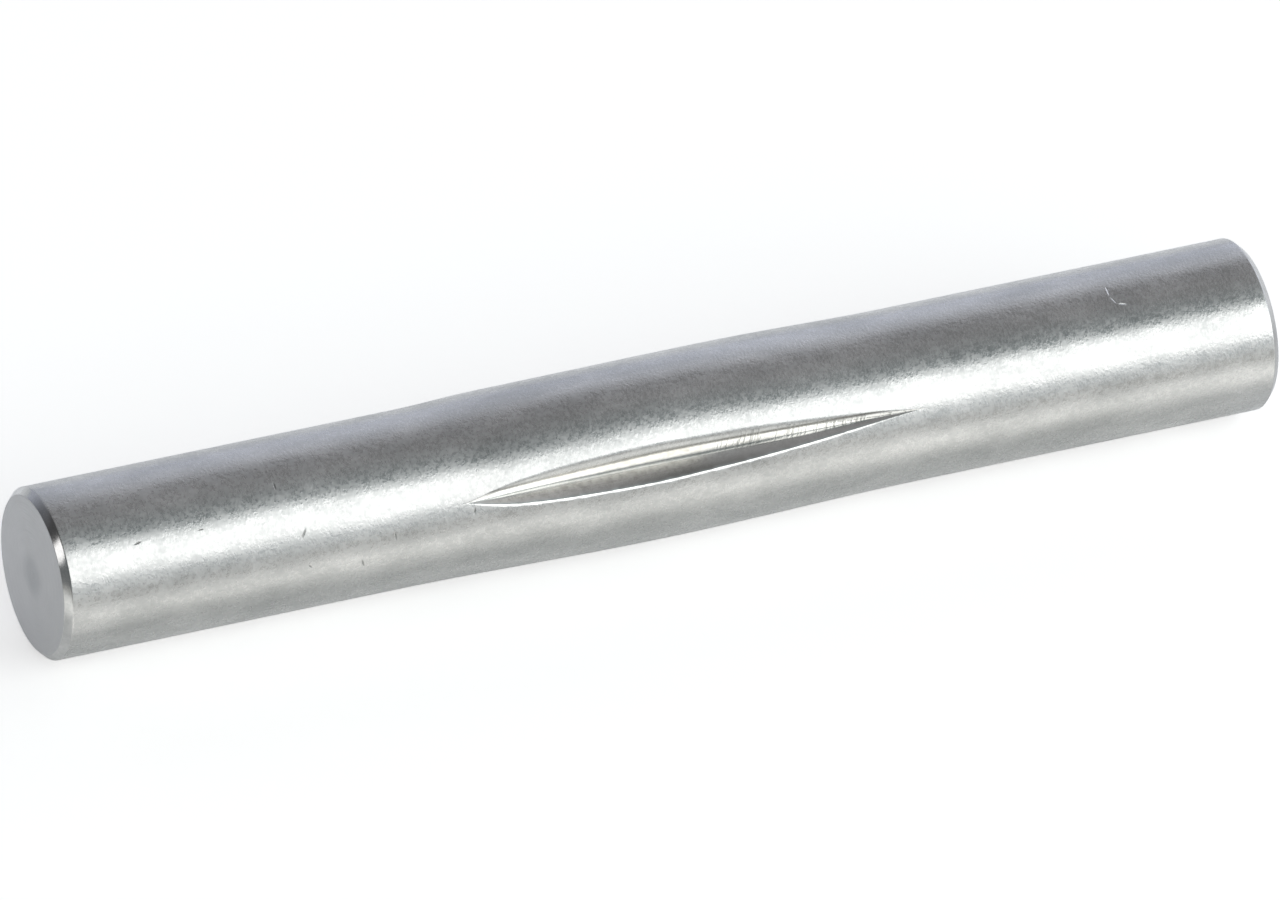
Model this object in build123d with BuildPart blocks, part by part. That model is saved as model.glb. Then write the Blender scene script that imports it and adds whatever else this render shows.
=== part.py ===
"""Grooved pin, 8 mm x 60 mm, grooved over the middle third of its length.

A plain round steel pin with chamfered ends.  Three lengthwise V grooves are pressed
into its middle, 120 degrees apart.  The metal they displace swells the pin there into
three low lobes, and the swelling is what grips the hole that the pin is driven into.

The pin is built standing on the Z axis, where its swelling, its grooves and its ends
are all drawn about one axis.  It is then laid along X with a groove underneath, as it
comes to rest: on the two rims of that groove, which keep it from rolling.
"""

import os
from math import cos, pi, radians, sin, tan

from build123d import *

# --- Pin ----------------------------------------------------------------------------
pin_diameter = 8.0
pin_length = 60.0
end_chamfer = 0.32

# --- Swollen middle -----------------------------------------------------------------
swell_length = 26.0       # along the pin, from plain end to plain end
crest_rise = 0.21         # growth in radius half way between two grooves
valley_rise = 0.155       # growth in radius on the line of a groove
swell_sections = 15       # that the swelling is lofted through

# --- Grooves ------------------------------------------------------------------------
groove_count = 3
groove_depth = 0.58       # deepest point of the floor, below the plain diameter
groove_angle = 101.0      # between the two flanks
groove_middle = -1.2      # deepest point, from the middle of the pin
root_radius = 0.10        # at the bottom of the V
rim_radius = 0.45         # where a flank turns over into a lobe
blunt_end_radius = 74.0   # lengthwise curve of the floor up to its blunt end,
long_end_radius = 33.0    # and at the start of its long end,
long_end_angle = 2.7      # which then climbs straight out at this angle
tool_margin = 1.0         # how far the groove tool reaches past the lobes

pin_radius = pin_diameter / 2
sector = 360 / groove_count


def bell(x):
    """1 in the middle of the swelling, falling smoothly to 0 at its two ends."""
    return cos(pi * x / swell_length) ** 2


def polar(radius, degrees):
    return radius * cos(radians(degrees)), radius * sin(radians(degrees))


# --- Swollen middle: three-lobed sections, lofted from round to round ----------------
# Each groove line has a shallow arc across it and each lobe a fuller one, and they
# run into each other half way between, at the mean of their two radii.
with BuildPart() as swelling:
    for section in range(swell_sections):
        x = swell_length * (section / (swell_sections - 1) - 0.5)
        valley_radius = pin_radius + valley_rise * bell(x)
        crest_radius = pin_radius + crest_rise * bell(x)
        joint_radius = (valley_radius + crest_radius) / 2
        with BuildSketch(Plane.XY.offset(x)):
            with BuildLine():
                for groove_line in range(groove_count):
                    valley = groove_line * sector
                    crest = valley + sector / 2
                    for radius, angle in ((valley_radius, valley), (crest_radius, crest)):
                        ThreePointArc(
                            polar(joint_radius, angle - sector / 4),
                            polar(radius, angle),
                            polar(joint_radius, angle + sector / 4),
                        )
            make_face()
    loft()

# --- Groove tool: a V with a rounded edge, swept along the line of the groove's floor -
floor_radius = pin_radius - groove_depth
tool_height = groove_depth + crest_rise + tool_margin
tool_half_width = tool_height * tan(radians(groove_angle / 2))
blunt_end_sweep = 14.0    # degrees of arc that bring the tool clear of the pin
long_end_run = 22.0       # length of ramp that does so at the other end

with BuildPart() as groove_tool:
    with BuildLine(Plane.XZ) as floor_line:
        CenterArc(
            (floor_radius + blunt_end_radius, groove_middle),
            blunt_end_radius, 180 + blunt_end_sweep, -blunt_end_sweep,
        )
        ramp_foot = CenterArc(
            (floor_radius + long_end_radius, groove_middle),
            long_end_radius, 180, -long_end_angle,
        )
        Line(ramp_foot @ 1, ramp_foot @ 1 + (ramp_foot % 1) * long_end_run)
    floor = floor_line.wire()
    with BuildSketch(Plane(floor @ 0, x_dir=(0, -1, 0), z_dir=floor % 0)) as tool_edge:
        Polygon(
            (0, 0), (tool_half_width, tool_height), (-tool_half_width, tool_height),
            align=None,
        )
        fillet(tool_edge.vertices().sort_by(Axis.Y)[0], root_radius)
    sweep(path=floor)

# --- Standing pin: the swelling between two plain ends, then the grooves -------------
with BuildPart() as standing_pin:
    add(swelling.part)
    with BuildSketch(Plane.XY.offset(swell_length / 2), (-Plane.XY).offset(swell_length / 2)):
        Circle(pin_radius)
    extrude(amount=(pin_length - swell_length) / 2)
    edges_by_height = standing_pin.edges().group_by(Axis.Z)
    chamfer(edges_by_height[0] + edges_by_height[-1], end_chamfer)

    with PolarLocations(0, groove_count):
        add(groove_tool.part, mode=Mode.SUBTRACT)
    groove_faces = standing_pin.faces(Select.LAST).filter_by(GeomType.BSPLINE, reverse=True)
    fillet(groove_faces.edges().filter_by(GeomType.BSPLINE), rim_radius)

# --- The pin as it lies: along X, on the rims of the groove underneath ----------------
rim_height = standing_pin.part.bounding_box().max.X

with BuildPart() as grooved_pin:
    with Locations(Plane((0, 0, rim_height), x_dir=(0, 0, -1), z_dir=(1, 0, 0))):
        add(standing_pin.part)

grooved_pin.part.label = "grooved_pin"
os.makedirs("parts", exist_ok=True)
export_step(grooved_pin.part, "parts/grooved_pin.step")
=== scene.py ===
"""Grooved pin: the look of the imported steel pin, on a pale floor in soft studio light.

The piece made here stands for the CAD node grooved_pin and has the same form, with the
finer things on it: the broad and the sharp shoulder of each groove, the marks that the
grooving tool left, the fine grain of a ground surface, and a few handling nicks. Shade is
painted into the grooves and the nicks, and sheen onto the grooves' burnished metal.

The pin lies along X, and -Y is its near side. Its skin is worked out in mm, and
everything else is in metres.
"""

from math import cos, pi, radians, sin, tan

import bmesh
import bpy
import numpy as np
from mathutils import Matrix, Vector


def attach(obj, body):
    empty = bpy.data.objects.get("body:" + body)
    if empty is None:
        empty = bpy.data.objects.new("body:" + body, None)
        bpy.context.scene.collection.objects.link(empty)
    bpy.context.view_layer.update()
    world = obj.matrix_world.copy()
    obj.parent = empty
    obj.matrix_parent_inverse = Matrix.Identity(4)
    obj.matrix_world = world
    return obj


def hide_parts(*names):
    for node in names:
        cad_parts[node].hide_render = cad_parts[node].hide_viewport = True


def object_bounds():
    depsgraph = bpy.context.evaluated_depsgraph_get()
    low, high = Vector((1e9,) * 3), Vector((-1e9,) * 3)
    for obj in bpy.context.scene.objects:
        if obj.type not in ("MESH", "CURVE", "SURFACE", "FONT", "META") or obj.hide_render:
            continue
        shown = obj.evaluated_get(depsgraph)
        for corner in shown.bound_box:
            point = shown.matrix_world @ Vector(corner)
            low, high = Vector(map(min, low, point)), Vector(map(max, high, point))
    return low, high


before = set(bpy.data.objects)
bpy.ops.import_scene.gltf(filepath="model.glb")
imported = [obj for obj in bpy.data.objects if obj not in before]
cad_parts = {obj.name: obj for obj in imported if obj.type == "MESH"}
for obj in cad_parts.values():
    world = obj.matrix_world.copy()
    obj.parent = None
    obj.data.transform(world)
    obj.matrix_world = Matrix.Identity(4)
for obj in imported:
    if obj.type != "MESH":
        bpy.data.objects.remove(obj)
cad_low, cad_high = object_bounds()

MM = 0.001

# --- Pin, in mm: its body is the CAD's ----------------------------------------------
PIN_RADIUS = 4.0
PIN_HALF_LENGTH = 30.0
CHAMFER = 0.32
SWELL_LENGTH = 26.0                      # along the pin, from plain end to plain end
CREST_RISE = 0.21                        # growth in radius half way between two grooves
axis_z = cad_high[2] / MM - PIN_RADIUS - CREST_RISE

# --- Grooves, in mm: close to the CAD's, and fitted more finely to the photo ----------
# A pair in brackets is where a change starts and ends: along the pin, or past the
# groove's middle where that is said.
GROOVE_LINES = (150.0, 270.0, 30.0)      # degrees from +Y towards +Z: seen, under, back
UNDERNEATH = 1
HALF_SECTOR = 180 / len(GROOVE_LINES)    # degrees from a groove to half way to the next

FLOOR_RADIUS = 3.37                      # of the groove at its deepest
GROOVE_MIDDLE = -1.2
BLUNT_END_RADIUS = 64.0
BLUNT_END_REACH = 20                     # past the middle, clear of the pin by then
LONG_END_RADIUS = 33.0
LONG_END_ANGLE = 2.9
DEEPER_FROM = (2.0, 5.0)                 # past the middle, the floor is deeper again,
DEEPER_BLUNT, DEEPER_BLUNT_TO = 0.04, (6.5, 9.1)        # by this much to either side,
DEEPER_LONG, DEEPER_LONG_TO = 0.03, (6.5, 13.3)         # and no longer at the tips

RIDGE_UNDERNEATH = 0.143                 # growth in radius beside the lowest groove,
RIDGE, RIDGE_SPAN = 0.118, (-11.5, -7.5)                # and beside the others,
RIDGE_MORE, RIDGE_MORE_SPAN = 0.035, (-3.0, 4.0)        # with this much more later on,
RIDGE_OUT = (4.5, 12.6)                                 # until it dies out

ROOT_RADIUS = 0.004
UPPER_FLANK, LOWER_FLANK = 48.7, 53.1    # degrees from the groove's middle plane,
END_STEEPER = 1.4                        # less by this towards its long end, and by a
BLUNT_END_SHARE = 0.6                    # share of it towards its blunt end,
STEEPER_BLUNT, STEEPER_LONG = (2.0, 6.0), (4.5, 8.0)    # from here past the middle
UPPER_LEAN, LOWER_LEAN = 1.7, -1.8       # more by this on the long end's side,
LEAN_SPAN = (1.0, 5.0)
UPPER_STEEPER = 1.1                      # and less by this for the upper one before that
UPPER_STEEPER_TO = (-1.0, 3.0)
LOWER_HOLLOW = 0.07                      # of the lower flank, per mm across

UPPER_BLEND = 0.45                       # softness of the upper shoulder per mm of depth,
UPPER_BLEND_LEAST = 0.03                 # at least this, in mm,
UPPER_BLEND_MORE, UPPER_BLEND_SPAN = 0.08, (5, 9)       # and more at the long end
LOWER_BLEND = 0.11                       # softness of the lower one, in mm,
LOWER_BLEND_DEPTH = 0.35                 # and less where the groove is shallower than
LOWER_BLEND_LEAST = 0.12                 # this, down to this share of it
LIP_UNEVENNESS = 0.5                     # of the lower shoulder's softness
LIP_WAVELENGTHS = (0.55, 0.83, 1.31, 2.3)
LIP_SEED = 5

# --- What the grooving tool left, and shade painted in the groove -----------------------
# A name in DEGREES counts round the pin from the groove's root, UP is a share of the
# flank's height, and SPAN and the rest are in mm along the pin.
# the dark line is painted shade along the upper shoulder
LINE_DEGREES, LINE_NARROWING = 7.75, 0.36               # less by this for each mm
LINE_WIDTH_DEGREES = 0.75
PAINTED_LINE_LEVEL, LINE_MORE, LINE_MORE_SPAN = 0.85, 0.4, (1, 3)
BURNISH_DEGREES = (0.75, 1.8)                           # from the line
CHATTER_SPAN = (1.0, 3.5)
# painted shade on the lower flank under its shoulder, and at the root (ROOT_)
PAINTED_SHADE_LEVEL, PAINTED_SHADE_UP = 0.84, (0.2, 0.9)
PAINTED_SHADE_MIDDLE, PAINTED_SHADE_REACH = 0.5, 4.2
ROOT_PAINTED_SHADE_LEVEL, ROOT_DEGREES, ROOT_SPAN = 0.58, (1.2, 3.0), (-10, -8)
ROOT_LESS, ROOT_LESS_SPAN = 0.6, (4, 7)
DRAG_UP, DRAG_DEGREES = (0.25, 1.0), (1.5, 3.5)
DRAG_LESS, DRAG_LESS_SPAN = 0.8, (0.5, 2.5)


def bell(x):
    """1 in the middle of the swelling, falling smoothly to 0 at its two ends."""
    return np.where(np.abs(x) < SWELL_LENGTH / 2, np.cos(pi * x / SWELL_LENGTH) ** 2, 0.0)


def fade(x, start, end):
    """0 before start, 1 after end, and smooth between them."""
    t = np.clip((x - start) / (end - start), 0.0, 1.0)
    return t * t * (3 - 2 * t)


def groove_floor(x):
    """Radius of the bottom of the groove."""
    dx = x - GROOVE_MIDDLE
    blunt = BLUNT_END_RADIUS - np.sqrt(
        BLUNT_END_RADIUS**2 - np.clip(dx, -BLUNT_END_REACH, 0) ** 2)
    foot = LONG_END_RADIUS * sin(radians(LONG_END_ANGLE))
    arc = LONG_END_RADIUS - np.sqrt(LONG_END_RADIUS**2 - np.clip(dx, 0, foot) ** 2)
    ramp = np.clip(dx - foot, 0, None) * tan(radians(LONG_END_ANGLE))
    deeper = np.where(dx < 0, DEEPER_BLUNT * (1 - fade(-dx, *DEEPER_BLUNT_TO)),
                      DEEPER_LONG * (1 - fade(dx, *DEEPER_LONG_TO)))
    return FLOOR_RADIUS + blunt + arc + ramp - fade(np.abs(dx), *DEEPER_FROM) * deeper


def ridge(x, underneath):
    """Growth in radius beside a groove. The one underneath is even, as in the CAD."""
    raised = RIDGE * fade(x, *RIDGE_SPAN) + RIDGE_MORE * fade(x, *RIDGE_MORE_SPAN)
    raised = raised * (1 - fade(x, *RIDGE_OUT))
    return np.where(underneath, RIDGE_UNDERNEATH * bell(x), raised)


def smooth_min(a, b, k):
    """The lesser of a and b, rounded over where they are less than k apart."""
    h = np.clip(k - np.abs(a - b), 0, None) / k
    return np.minimum(a, b) - h * h * k / 4


def wobble(x, seed, wavelengths):
    """A seeded, smooth, uneven wave along the pin, of about unit height."""
    phases = np.random.default_rng(seed).uniform(0, 2 * pi, len(wavelengths))
    waves = [np.sin(2 * pi * x / length + phase)
             for length, phase in zip(wavelengths, phases)]
    return sum(waves) / len(waves)


def flank_angle(x, upper):
    """Degrees of a flank from the groove's middle plane."""
    to_ends = (BLUNT_END_SHARE * fade(GROOVE_MIDDLE - x, *STEEPER_BLUNT)
               + fade(x - GROOVE_MIDDLE, *STEEPER_LONG))
    leaning = np.where(upper, UPPER_LEAN, LOWER_LEAN) * fade(x, *LEAN_SPAN)
    leaning = leaning - np.where(upper, UPPER_STEEPER, 0) * (1 - fade(x, *UPPER_STEEPER_TO))
    return np.where(upper, UPPER_FLANK, LOWER_FLANK) + leaning - END_STEEPER * to_ends


def shoulder(x, upper, depth, groove):
    """How softly a flank turns over into the body, in mm."""
    softer = UPPER_BLEND_MORE * fade(x, *UPPER_BLEND_SPAN) * fade(depth, 0, 0.1)
    upper_blend = np.clip(UPPER_BLEND * depth, UPPER_BLEND_LEAST, 1) + softer
    lip = 1 + LIP_UNEVENNESS * wobble(x, LIP_SEED + groove, LIP_WAVELENGTHS)
    shallow = np.clip(depth / LOWER_BLEND_DEPTH, LOWER_BLEND_LEAST, 1)
    lower_blend = LOWER_BLEND * lip * shallow
    return np.where(upper, upper_blend, lower_blend)


def tool_marks_and_painted_shade(x, psi, cut, up_the_flank):
    """What the grooving tool has done to the metal, and the shade painted on it, each from 0
    to 1: how far it has burnished it and painted sheen on it, how strongly it has chattered,
    how dark the painted shade is, and how far it has dragged the metal dull. cut is under -1
    on the body, 0 on the shoulder and more on a flank, and up_the_flank is 0 at the groove's
    root and 1 at its shoulder."""
    upper = psi > 0
    # painted shade: a dark line along the upper shoulder; below it burnished metal with
    # painted sheen
    past_line = LINE_DEGREES - LINE_NARROWING * np.sqrt(x**2 + 1) - psi
    line = (np.exp(-(past_line / LINE_WIDTH_DEGREES) ** 2) * fade(cut, -1.0, -0.7)
            * (PAINTED_LINE_LEVEL + LINE_MORE * fade(x, *LINE_MORE_SPAN)))
    burnish_and_sheen = np.where(upper, fade(past_line, *BURNISH_DEGREES) * fade(cut, -0.8, 0),
                       fade(cut, -1.0, 0))
    # it has chattered on the upper flank, towards its long end
    chatter = np.where(upper, fade(cut, -0.3, 0.1), 0) * fade(x, *CHATTER_SPAN)
    # painted shade on the lower flank under its shoulder about the middle, and at the root
    painted_shade = (PAINTED_SHADE_LEVEL * fade(up_the_flank, *PAINTED_SHADE_UP)
             * np.exp(-((x - PAINTED_SHADE_MIDDLE) / PAINTED_SHADE_REACH) ** 2))
    root = (ROOT_PAINTED_SHADE_LEVEL * (1 - fade(-psi, *ROOT_DEGREES)) * fade(x, *ROOT_SPAN)
            * (1 - ROOT_LESS * fade(x, *ROOT_LESS_SPAN)))
    painted_shade = np.maximum(painted_shade, root) * fade(cut, 0, 1)
    # and dragged dull above the root, least towards the long end
    drag = ((1 - fade(up_the_flank, *DRAG_UP)) * fade(-psi, *DRAG_DEGREES)
            * fade(cut, -1, 0))
    drag = drag * (1 - DRAG_LESS * fade(x, *DRAG_LESS_SPAN))
    return burnish_and_sheen, chatter, np.where(upper, line, painted_shade), np.where(upper, 0, drag)


def surface(x, psi, groove):
    """The radius, the tool's marks and the painted shade at x, psi degrees round from the
    middle of a groove. psi is + on the flank that is the upper one where the groove is seen."""
    upper = psi > 0
    side = ridge(x, groove == UNDERNEATH)
    crest = CREST_RISE * bell(x)
    lobe = 0.5 - 0.5 * np.cos(np.radians(len(GROOVE_LINES) * psi))
    body = PIN_RADIUS + side + (crest - side) * lobe
    depth = np.clip(PIN_RADIUS + side - groove_floor(x), 0, None)
    flank = flank_angle(x, upper)
    blend = shoulder(x, upper, depth, groove)
    radius = body
    for _ in range(3):                   # the wall's place depends a little on its radius
        across = radius * np.sin(np.radians(psi))
        past_root = np.sqrt(across**2 + ROOT_RADIUS**2) - ROOT_RADIUS
        rise = past_root / np.tan(np.radians(flank))
        rise = rise + np.where(upper, 0, LOWER_HOLLOW) * across**2
        wall = (groove_floor(x) + rise) / np.cos(np.radians(psi))
        radius = smooth_min(body, wall, blend)
    cut = (body - wall) / blend
    up_the_flank = np.clip(1 - (body - wall) / np.maximum(depth, 0.01), 0, 1)
    return radius, *tool_marks_and_painted_shade(x, psi, cut, up_the_flank)


def groove_half_angle(x):
    """Degrees from the middle of the groove to its rim, roughly."""
    rough_ridge, rough_flank = 0.14, 50
    depth = np.clip(PIN_RADIUS + rough_ridge * bell(x) - groove_floor(x), 0, None)
    return np.degrees(np.arctan2(depth * tan(radians(rough_flank)), PIN_RADIUS))


# --- The skin: rows along the pin, columns round it, close at the grooves -------------
PLAIN_ROWS, SWELL_ROWS = 18, 209
END_GAP, SWELL_GAP = 0.06, 0.5           # from the plain rows to those next to them
NEAR_COLUMNS = 23                        # from a groove's middle past its rim
FAR_COLUMNS = 13                         # and from there to half way to the next
ROOT_COLUMNS = (-0.016, -0.005, 0, 0.005, 0.016)
FAR_SPREAD = 1.25                        # the far ones stand wider apart one by one
ZONE_SHARE, ZONE_MARGIN, ZONE_LEAST = 1.3, 2.2, 3.0     # of the near ones, in degrees

rows = np.concatenate([
    np.linspace(-PIN_HALF_LENGTH + CHAMFER + END_GAP, -SWELL_LENGTH / 2 - SWELL_GAP,
                PLAIN_ROWS),
    np.linspace(-SWELL_LENGTH / 2, SWELL_LENGTH / 2, SWELL_ROWS),
    np.linspace(SWELL_LENGTH / 2 + SWELL_GAP, PIN_HALF_LENGTH - CHAMFER - END_GAP,
                PLAIN_ROWS),
])
# the columns of one sector: 0 on the groove, 1 past its rim, 2 half way to the next
steps = np.concatenate([
    -np.linspace(1, 0, FAR_COLUMNS, endpoint=False) - 1,
    np.linspace(-1, 0, NEAR_COLUMNS, endpoint=False),
    ROOT_COLUMNS,
    np.linspace(0, 1, NEAR_COLUMNS + 1)[1:],
    1 + np.linspace(0, 1, FAR_COLUMNS + 1)[1:],
])[:-1]                                  # the next sector has the last one
x_grid = rows[:, None] + 0 * steps[None, :]
zone = np.maximum(ZONE_SHARE * groove_half_angle(x_grid) + ZONE_MARGIN, ZONE_LEAST)
reach = np.abs(steps)[None, :]
psi_grid = np.sign(steps)[None, :] * np.where(
    reach <= 1, zone * reach, zone + (HALF_SECTOR - zone) * (reach - 1) ** FAR_SPREAD)

sectors = []
for groove, groove_line in enumerate(GROOVE_LINES):
    skin_radius, *marks = surface(x_grid, psi_grid, groove)
    angle = np.radians(groove_line - psi_grid)
    sectors.append(np.stack([x_grid, skin_radius * np.cos(angle),
                             axis_z + skin_radius * np.sin(angle), *marks], axis=-1))
# the grooves follow each other round the pin as psi falls
skin = np.concatenate([sector[:, ::-1] for sector in sectors], axis=1)
skin, skin_marks = skin[..., :3], skin[..., 3:]
columns = skin.shape[1]

# --- The ends: rings from the skin to the middle of the face ---------------------------
# Each is (distance in from the face, radius), in mm.
FACE_RADIUS = PIN_RADIUS - CHAMFER
DISH = 0.004                             # that the cut-off tool has left in the face
rim = [(CHAMFER + 0.02, PIN_RADIUS - 0.002)]
bevel = [(CHAMFER - 0.005, PIN_RADIUS - 0.012), (CHAMFER - 0.03, PIN_RADIUS - 0.033),
         (0.16, PIN_RADIUS - 0.16), (0.022, FACE_RADIUS + 0.022)]
face = [(0.008, FACE_RADIUS + 0.007), (0.001, FACE_RADIUS - 0.008)]
face += [(DISH * (FACE_RADIUS - radius) / FACE_RADIUS, radius)
         for radius in (FACE_RADIUS - 0.03, 3.3, 2.7, 2.1, 1.5, 1.0, 0.6, 0.42)]
face += [(0.016, 0.33), (0.026, 0.22), (0.012, 0.12), (0.004, 0.05)]    # its small pip
end_rings = rim + bevel + face

around = np.arctan2(skin[0, :, 2] - axis_z, skin[0, :, 1])


def ring(x, radius):
    return np.stack([np.full(columns, x), radius * np.cos(around),
                     axis_z + radius * np.sin(around)], axis=-1)


grid = [ring(-PIN_HALF_LENGTH + inset, radius) for inset, radius in reversed(end_rings)]
grid += list(skin)
grid += [ring(PIN_HALF_LENGTH - inset, radius) for inset, radius in end_rings]
points = np.concatenate(grid) * MM

quads = []
for row in range(len(grid) - 1):
    for column in range(columns):
        following = (column + 1) % columns
        quads.append((row * columns + column, (row + 1) * columns + column,
                      (row + 1) * columns + following, row * columns + following))
start_cap = tuple(range(columns))
end_cap = tuple(range((len(grid) - 1) * columns, len(grid) * columns))[::-1]

mesh = bpy.data.meshes.new("grooved_pin_steel")
mesh.from_pydata([tuple(p) for p in points], [], quads + [start_cap, end_cap])
mesh.update()
pin = bpy.data.objects.new("grooved_pin_steel", mesh)
bpy.context.scene.collection.objects.link(pin)

# --- Masks for the steel: the tool's marks and painted shade on the skin, what the ends are - ---
MARK_AND_SHADE_NAMES = ("burnish_and_sheen", "chatter", "painted_shade", "drag")
masks = {name: np.zeros((len(grid), columns)) for name in (*MARK_AND_SHADE_NAMES, "turned", "chamfer")}
for index, name in enumerate(MARK_AND_SHADE_NAMES):
    masks[name][len(end_rings):-len(end_rings)] = skin_marks[..., index]
bevel_from, bevel_to = len(face), len(face) + len(bevel)
masks["turned"][:bevel_from] = masks["turned"][-bevel_from:] = 1.0
masks["chamfer"][bevel_from:bevel_to] = masks["chamfer"][-bevel_to:-bevel_from] = 1.0
for name, mask in masks.items():
    mesh.attributes.new(name, "FLOAT", "POINT").data.foreach_set("value", mask.ravel())

bm = bmesh.new()
bm.from_mesh(mesh)
bmesh.ops.recalc_face_normals(bm, faces=bm.faces)
bm.to_mesh(mesh)
bm.free()
for polygon in mesh.polygons:
    polygon.use_smooth = True


# --- Shading -------------------------------------------------------------------------
class Tree:
    """The node tree of a material or a world, with a short way to add what is used here.
    A value is a number, a vector, a color of three numbers, or the output of a node."""

    def __init__(self, owner, coordinates="Object"):
        owner.use_nodes = True
        self.nodes, self.links = owner.node_tree.nodes, owner.node_tree.links
        self.nodes.clear()
        self.place = self.node("TexCoord").outputs[coordinates]
        self.x, self.y, self.z = self.node("SeparateXYZ", {"Vector": self.place}).outputs

    def fill(self, socket, value):
        if isinstance(value, bpy.types.NodeSocket):
            self.links.new(value, socket)
        elif socket.type == "RGBA":
            socket.default_value = (*value, 1.0)
        else:
            socket.default_value = value

    def node(self, kind, inputs=None, **settings):
        """Adds a node. inputs holds the value of a socket by its name or number."""
        node = self.nodes.new("ShaderNode" + kind)
        for name, setting in settings.items():
            setattr(node, name, setting)
        for socket, value in (inputs or {}).items():
            self.fill(node.inputs[socket], value)
        return node

    def math(self, operation, *values):
        node = self.node("Math", dict(enumerate(values)), operation=operation)
        return node.outputs["Value"]

    def remap(self, value, from_low, from_high, low=0.0, high=1.0, interpolation="LINEAR"):
        """low where value is from_low, high where it is from_high, and no further."""
        return self.node(
            "MapRange", {"Value": value, "From Min": from_low, "From Max": from_high,
                         "To Min": low, "To Max": high},
            interpolation_type=interpolation).outputs["Result"]

    def noise(self, scale, detail=2.0, stretch=(1, 1, 1), roughness=0.5):
        mapping = self.node("Mapping", {"Vector": self.place, "Scale": stretch})
        return self.node(
            "TexNoise", {"Vector": mapping.outputs["Vector"], "Scale": scale,
                         "Detail": detail, "Roughness": roughness}).outputs["Fac"]

    def attribute(self, name):
        return self.node("Attribute", attribute_name=name).outputs["Fac"]

    def mix(self, factor, a, b, data_type="RGBA", blend_type="MIX"):
        node = self.node("Mix", {"Factor": factor}, data_type=data_type,
                         blend_type=blend_type)
        pair = [socket for socket in node.inputs if socket.name in "AB" and socket.enabled]
        for socket, value in zip(pair, (a, b)):
            self.fill(socket, value)
        return [socket for socket in node.outputs if socket.enabled][0]

    def ramp(self, position, stops):
        """The color at a position from 0 to 1. stops holds (position, color)."""
        node = self.node("ValToRGB", {"Fac": position})
        elements = node.color_ramp.elements
        for index, (place, color) in enumerate(stops):
            stop = elements[index] if index < 2 else elements.new(1.0)
            stop.position = place
            stop.color = (*color, 1)
        return node.outputs["Color"]

    def bump(self, height, distance, under=None):
        node = self.node("Bump", {"Strength": 1.0, "Distance": distance, "Height": height})
        if under is not None:
            self.fill(node.inputs["Normal"], under)
        return node.outputs["Normal"]

    def emission(self, color, strength):
        return self.node("Emission", {"Color": color, "Strength": strength}).outputs[0]

    def mix_shaders(self, factor, a, b):
        return self.node("MixShader", {0: factor, 1: a, 2: b}).outputs[0]


# --- Steel ---------------------------------------------------------------------------
# Handling marks: x in mm, degrees up from the level on the near side, length and width
# in mm, degrees of slant from the pin's length.
NICKS = (
    (-18.3, 32.2, 0.70, 0.14, 59), (-13.9, 18.3, 0.60, 0.14, -83),
    (-15.5, 3.1, 0.60, 0.13, -72), (-10.0, 24.1, 0.45, 0.13, 75),
    (-26.2, 48.5, 0.50, 0.14, 12), (-23.1, 48.6, 0.32, 0.08, 3),
    (-19.1, 67.0, 0.50, 0.13, 90), (-18.1, 9.0, 0.30, 0.12, -50),
)
SCRATCH = (
    (22.55, 84.5, 0.75, 0.12, 84), (22.6, 76.0, 0.55, 0.11, -70),
    (22.95, 71.5, 0.6, 0.11, -20),
)
# Colors. A pair is the darkest and the lightest of an uneven one.
GROUND = (0.571, 0.566, 0.559), (0.717, 0.706, 0.696)
SPECK = (0.44, 0.46, 0.45)
# burnished metal, brighter than steel: partly painted sheen in the grooves
BURNISHED_WITH_SHEEN = (0.88, 0.868, 0.84), (0.965, 0.953, 0.93)
DRAGGED = (0.74, 0.70, 0.64), (0.97, 0.93, 0.86)
PAINTED_SHADE_COLOR = (0.11, 0.10, 0.08)
PAINTED_CHATTER_SHADE = (0.30, 0.30, 0.29)
END_FACE = (0.655, 0.652, 0.652), (0.713, 0.709, 0.709)
END_SPOT, END_SPOT_FADE = (0.45, 0.46, 0.47), (0.0008, 0.0015)
PAINTED_NICK_SHADE = (0.34, 0.34, 0.33)
SCRATCHED = (0.86, 0.86, 0.85)
# Heights of the relief, in metres.
GRAIN_HEIGHT = 10e-6
CHATTER_HEIGHT = 12e-6
TOOL_RING_HEIGHT = 2.5e-6
NICK_DEPTH = 20e-6
TOOL_RING_PITCHES = (0.00042, 0.00016)   # of the rings on the end faces, and how far
TOOL_RING_WANDER = 0.0005                # they stray from round, in metres
# Roughness
SATIN_SPECKS, SATIN_PATCHES = (-0.09, 0.09), (0.255, 0.325)
SATIN_ALONG = -0.8                       # per metre along the pin
BURNISHED_ROUGHNESS = 0.11
DRAGGED_ROUGHNESS = 0.32
CHAMFER_ROUGHNESS = 0.17
TURNED_ROUGHNESS = 0.66


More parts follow.
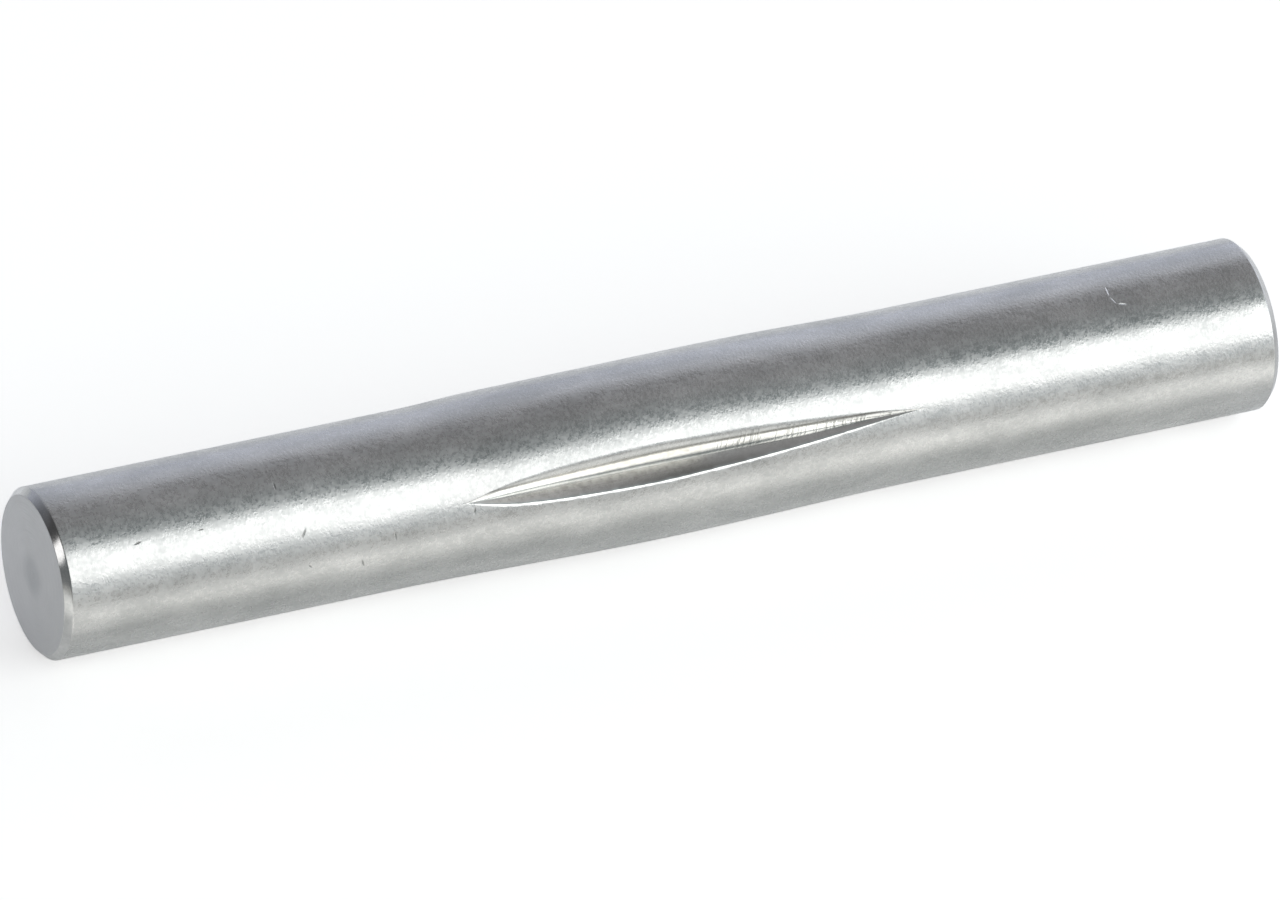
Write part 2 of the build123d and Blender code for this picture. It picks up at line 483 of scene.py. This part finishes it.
def marked(tree, marks):
    """1 in the middle of each oval mark, falling smoothly to 0 at its edge."""
    total = None
    for x, degrees, length, width, slant in marks:
        up, slope = radians(degrees), radians(slant)
        outward = Vector((0, -cos(up), sin(up)))
        upward = Vector((0, sin(up), cos(up)))
        lengthwise = Vector((cos(slope), 0, 0)) + upward * sin(slope)
        widthwise = outward.cross(lengthwise)
        turn = Matrix((lengthwise, widthwise, outward)).transposed()
        mapping = tree.node("Mapping", {
            "Vector": tree.place,
            "Location": (x * MM, -PIN_RADIUS * cos(up) * MM,
                         (axis_z + PIN_RADIUS * sin(up)) * MM),
            "Rotation": turn.to_euler(),
            "Scale": (length / 2 * MM, width / 2 * MM, 0.5 * MM),
        }, vector_type="TEXTURE")
        distance = tree.node("VectorMath", {0: mapping.outputs["Vector"]},
                             operation="LENGTH")
        mark = tree.remap(distance.outputs["Value"], 1.0, 0.2, interpolation="SMOOTHSTEP")
        total = mark if total is None else tree.math("MAXIMUM", total, mark)
    return total


def make_steel():
    """Bright ground steel, smoother in the grooves, with turned end faces."""
    steel = bpy.data.materials.new("steel")
    tree = Tree(steel)
    burnish_and_sheen, chatter, painted_shade, drag, turned, chamfer = map(tree.attribute, masks)
    nicks, scratch = marked(tree, NICKS), marked(tree, SCRATCH)

    # a fine grain on the ground skin
    plain = tree.math("SUBTRACT", 1.0, tree.math(
        "MAXIMUM", burnish_and_sheen, tree.math("MAXIMUM", turned, chamfer)))
    grain = tree.noise(7000, detail=2.0, stretch=(1.2, 0.9, 0.9), roughness=0.6)
    normal = tree.bump(tree.math("MULTIPLY", grain, plain), GRAIN_HEIGHT)

    # chatter marks, which run across the groove
    ripple = tree.noise(7500, detail=2.0, stretch=(1, 0.03, 0.03))
    ripple = tree.math("MULTIPLY", tree.remap(ripple, 0.50, 0.61), chatter)
    normal = tree.bump(ripple, CHATTER_HEIGHT, normal)

    # rings left on the end faces by the cut-off tool
    from_axis = tree.math("SUBTRACT", tree.z, axis_z * MM)
    from_axis = tree.math("SQRT", tree.math(
        "ADD", tree.math("MULTIPLY", tree.y, tree.y),
        tree.math("MULTIPLY", from_axis, from_axis)))
    from_axis = tree.math(
        "MULTIPLY_ADD", tree.noise(700, detail=3.0), TOOL_RING_WANDER, from_axis)
    coarse, fine = (tree.math("SINE", tree.math("MULTIPLY", from_axis, 2 * pi / pitch))
                    for pitch in TOOL_RING_PITCHES)
    tool_rings = tree.math("MULTIPLY", tree.math("ADD", coarse, fine), turned)
    normal = tree.bump(tool_rings, TOOL_RING_HEIGHT, normal)

    handled = tree.math("SUBTRACT", 1.0, tree.math("MAXIMUM", nicks, scratch))
    normal = tree.bump(handled, NICK_DEPTH, normal)

    # color: cloudy and speckled on the skin, clean and bright in the grooves,
    # and darkened there by painted shade
    cloud = tree.noise(600, detail=5.0, stretch=(0.45, 1, 1), roughness=0.7)
    color = tree.mix(tree.remap(cloud, 0.36, 0.64), *GROUND)
    speckle = tree.noise(6200, detail=3.0, stretch=(0.9, 1, 1), roughness=0.6)
    color = tree.mix(tree.remap(speckle, 0.62, 0.30, 0.0, 0.25), color, SPECK)
    # burnished grooves with painted sheen: brighter than steel, to brighten reflections
    # there
    rubbed = tree.noise(2200, detail=4.0, roughness=0.6)
    rubbed = tree.mix(tree.remap(rubbed, 0.40, 0.58), *BURNISHED_WITH_SHEEN)
    color = tree.mix(burnish_and_sheen, color, rubbed)
    dragged = tree.noise(3600, detail=4.0, roughness=0.65)
    dragged = tree.mix(tree.remap(dragged, 0.38, 0.55), *DRAGGED)
    color = tree.mix(drag, color, dragged)
    # painted shade: the dark line under the upper shoulder, the lower flank and the root
    color = tree.mix(tree.math("MULTIPLY", painted_shade, 0.62), color, PAINTED_SHADE_COLOR)
    # painted shade in the chatter marks, which are also bumped
    color = tree.mix(tree.math("MULTIPLY", ripple, 0.5), color, PAINTED_CHATTER_SHADE)
    # and even on the end faces, with a darker spot in the middle
    color = tree.mix(turned, color, tree.mix(tree.noise(800, detail=4.0), *END_FACE))
    spot = tree.math("MULTIPLY", tree.remap(from_axis, *END_SPOT_FADE, 1.0, 0.0), turned)
    color = tree.mix(tree.math("MULTIPLY", spot, 0.42), color, END_SPOT)
    # painted shade in the nicks, which are also dented by the bump
    color = tree.mix(nicks, color, PAINTED_NICK_SHADE)
    color = tree.mix(scratch, color, SCRATCHED)

    # roughness: satin in fine specks and wide patches, and even on every other finish
    specks = tree.noise(5200, detail=3.0, stretch=(0.9, 1, 1), roughness=0.65)
    specks = tree.remap(specks, 0.35, 0.65, *SATIN_SPECKS)
    patches = tree.remap(tree.noise(1500, detail=2.0), 0.35, 0.65, *SATIN_PATCHES)
    roughness = tree.math("ADD", tree.math("ADD", specks, patches),
                          tree.math("MULTIPLY", tree.x, SATIN_ALONG))
    for finish, value in ((burnish_and_sheen, BURNISHED_ROUGHNESS), (drag, DRAGGED_ROUGHNESS),
                          (chamfer, CHAMFER_ROUGHNESS), (turned, TURNED_ROUGHNESS)):
        roughness = tree.mix(finish, roughness, value, data_type="FLOAT")

    shader = tree.node("BsdfPrincipled", {
        "Metallic": 1.0, "Base Color": color, "Roughness": roughness, "Normal": normal})
    tree.node("OutputMaterial", {"Surface": shader.outputs["BSDF"]})
    return steel


mesh.materials.append(make_steel())
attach(pin, "root")
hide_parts("grooved_pin")

# --- Floor: pale, at full white to the camera, with the pin's soft shadow on it -------
FLOOR_HALF_SIZE = 6.0
FLOOR_COLOR = (0.9, 0.9, 0.895)
# what is added to bring it to white for the camera
WHITENING, WHITENING_TINT = 0.525, (1, 0.985, 0.98)
# its glow in the steel, by millimetres in front of the pin (-) or behind it (+): a painted
# pool of light a little way in front, and a painted shadow of the pin close to it
WARM, COOL = (1.0, 0.995, 0.94), (0.96, 0.98, 1.04)
GLOW_HALF_WIDTH = 40
GLOW = ((-40, 0.20, WARM), (-19, 0.36, WARM), (-13, 0.58, WARM), (-10, 0.56, WARM),
        (-7.5, 0.24, WARM), (-5.6, 0.06, WARM), (0, 0.14, COOL), (8, 0.30, COOL),
        (20, 0.28, COOL), (40, 0.20, COOL))
GLOW_ALONG = (0.955, 1.165)              # times this at the near and at the far end
PATCH_FADES = ((-0.036, -0.031), (-0.0300, -0.0305))    # more of it past the near end,
PATCH_LEVEL = 0.9                                       # which lights the face there
# in the steel, a grey glow takes the table's place a little way off in front of the pin
GAP_FADE = (-0.022, -0.030)
GAP_COLOR = (0.49, 0.495, 0.48)


def make_paper():
    """Matt, with a glow that only the camera and reflections in the steel see."""
    paper = bpy.data.materials.new("floor")
    tree = Tree(paper)
    ray = tree.node("LightPath").outputs
    camera_ray, glossy_ray = ray["Is Camera Ray"], ray["Is Glossy Ray"]
    half_length = PIN_HALF_LENGTH * MM

    across = tree.remap(tree.y, -GLOW_HALF_WIDTH * MM, GLOW_HALF_WIDTH * MM)
    glow = tree.ramp(across, (((y + GLOW_HALF_WIDTH) / (2 * GLOW_HALF_WIDTH),
                               [level * channel for channel in tint])
                              for y, level, tint in GLOW))
    along = tree.remap(tree.x, -half_length, half_length, *GLOW_ALONG)
    patch = tree.math("MULTIPLY", *(tree.remap(tree.x, *span) for span in PATCH_FADES))
    reflected = tree.math("MULTIPLY", glossy_ray,
                          tree.math("MULTIPLY_ADD", patch, PATCH_LEVEL, along))
    glowing = tree.emission(
        tree.mix(camera_ray, glow, WHITENING_TINT),
        tree.math("MULTIPLY_ADD", camera_ray, WHITENING, reflected))
    matt = tree.node("BsdfDiffuse", {"Color": FLOOR_COLOR}).outputs["BSDF"]
    table = tree.node("AddShader", {0: matt, 1: glowing}).outputs["Shader"]

    in_gap = tree.math("MULTIPLY", tree.remap(tree.y, *GAP_FADE), glossy_ray)
    whole = tree.mix_shaders(in_gap, table, tree.emission(GAP_COLOR, along))
    tree.node("OutputMaterial", {"Surface": whole})
    return paper


floor_mesh = bpy.data.meshes.new("floor")
corners = [(x * FLOOR_HALF_SIZE, y * FLOOR_HALF_SIZE, 0)
           for x, y in ((-1, -1), (1, -1), (1, 1), (-1, 1))]
floor_mesh.from_pydata(corners, [], [(0, 1, 2, 3)])
floor = bpy.data.objects.new("floor", floor_mesh)
bpy.context.scene.collection.objects.link(floor)
floor_mesh.materials.append(make_paper())

# --- Light: a wide soft box in front, a small one at the side, and a pale surround -----
middle = Vector((0, 0, axis_z * MM))


def soft_box(name, around_x, towards_x, distance, width, height, strength, color, lean=0.0):
    """Faces the pin from around_x degrees above the level on the near side."""
    away = Vector((towards_x, -cos(radians(around_x)), sin(radians(around_x)))).normalized()
    data = bpy.data.lights.new(name, "AREA")
    data.shape = "RECTANGLE"
    data.size, data.size_y = width, height
    data.energy = strength * pi * width * height
    data.color = color
    lamp = bpy.data.objects.new(name, data)
    lamp.location = middle + away * distance
    facing = (-away).to_track_quat("-Z", "Y").to_matrix()
    lamp.rotation_euler = (facing @ Matrix.Rotation(-radians(lean), 3, "Z")).to_euler()
    bpy.context.scene.collection.objects.link(lamp)


soft_box("key", around_x=40.1, towards_x=0.375, distance=0.6, width=0.75, height=0.430,
         strength=1.17, color=(1.0, 0.995, 0.973), lean=11.0)
soft_box("side", around_x=83.0, towards_x=-2.29, distance=0.6, width=0.16, height=0.20,
         strength=1.6, color=(1.0, 1.0, 1.0))

# The surround, by degrees up from the level in front of the pin, over it, to the level
# behind it: pale in front, a darker ceiling, and cool and pale behind.
SURROUND = (
    (0, (0.575, 0.605, 0.62)), (3, (0.63, 0.665, 0.68)), (7, (0.65, 0.695, 0.71)),
    (12, (0.65, 0.69, 0.705)), (60, (0.475, 0.535, 0.555)), (66, (0.234, 0.270, 0.278)),
    (100, (0.26, 0.262, 0.268)), (114, (0.245, 0.247, 0.255)),
    (129, (0.25, 0.253, 0.265)), (136, (0.48, 0.49, 0.52)), (146, (0.555, 0.58, 0.64)),
    (180, (0.62, 0.66, 0.77)),
)
# Its level by the x of the direction: darker past the pin's near end, where its chamfer
# looks, and lighter past the far one. The skin looks where it is AT_SKIN.
AT_SKIN = 0.467
SURROUND_ALONG = (
    (-1.0, 0.13), (-0.65, 0.13), (-0.42, 0.37), (-0.1, 0.40), (0.2, 0.373),
    (0.352, AT_SKIN), (0.43, 0.60), (0.55, 0.90), (1.0, 1.0),
)


def make_surround():
    """The surround that lights the pin. The camera sees white in its place."""
    world = bpy.data.worlds.new("studio")
    tree = Tree(world, "Generated")
    half_turns = tree.math("DIVIDE", tree.math(
        "ARCTAN2", tree.z, tree.math("MULTIPLY", tree.y, -1.0)), pi)
    by_height = tree.ramp(half_turns, ((degrees / 180, color)
                                       for degrees, color in SURROUND))
    lengthways = tree.remap(tree.x, -1.0, 1.0)
    by_length = tree.ramp(lengthways, (((x + 1) / 2, [level] * 3)
                                       for x, level in SURROUND_ALONG))
    color = tree.mix(1.0, by_height, by_length, blend_type="MULTIPLY")
    surround = tree.node("Background", {"Color": color, "Strength": 1 / AT_SKIN})
    white = tree.node("Background", {"Color": (1, 1, 1)})
    whole = tree.mix_shaders(tree.node("LightPath").outputs["Is Camera Ray"],
                             surround.outputs["Background"], white.outputs["Background"])
    tree.node("OutputWorld", {"Surface": whole})
    return world


bpy.context.scene.world = make_surround()

# --- Camera: far off, looking down on the pin from its near end -----------------------
CAMERA_AZIMUTH = 26.85        # degrees, from straight across the pin
CAMERA_ELEVATION = 38.78
CAMERA_ROLL = 5.84
CAMERA_DISTANCE = 1.533
CAMERA_TARGET = Vector((-0.00014, 0.0, -0.00008))    # from the middle of the pin
CAMERA_SENSOR, CAMERA_LENS = 36, 951                 # in mm
CAMERA_CLIP = 100

azimuth, elevation = radians(CAMERA_AZIMUTH), radians(CAMERA_ELEVATION)
forward = Vector((sin(azimuth) * cos(elevation), cos(azimuth) * cos(elevation),
                  -sin(elevation)))
level_right = Vector((cos(azimuth), -sin(azimuth), 0))
level_up = level_right.cross(forward)
roll = radians(CAMERA_ROLL)
right = level_right * cos(roll) + level_up * sin(roll)
up = right.cross(forward)
camera_data = bpy.data.cameras.new("camera")
camera_data.sensor_width = CAMERA_SENSOR
camera_data.lens = CAMERA_LENS
camera_data.clip_end = CAMERA_CLIP
camera = bpy.data.objects.new("camera", camera_data)
place = middle + CAMERA_TARGET - forward * CAMERA_DISTANCE
camera.matrix_world = Matrix((
    (right.x, up.x, -forward.x, place.x),
    (right.y, up.y, -forward.y, place.y),
    (right.z, up.z, -forward.z, place.z),
    (0, 0, 0, 1),
))
bpy.context.scene.collection.objects.link(camera)
bpy.context.scene.camera = camera

bpy.context.scene.view_settings.view_transform = "Standard"
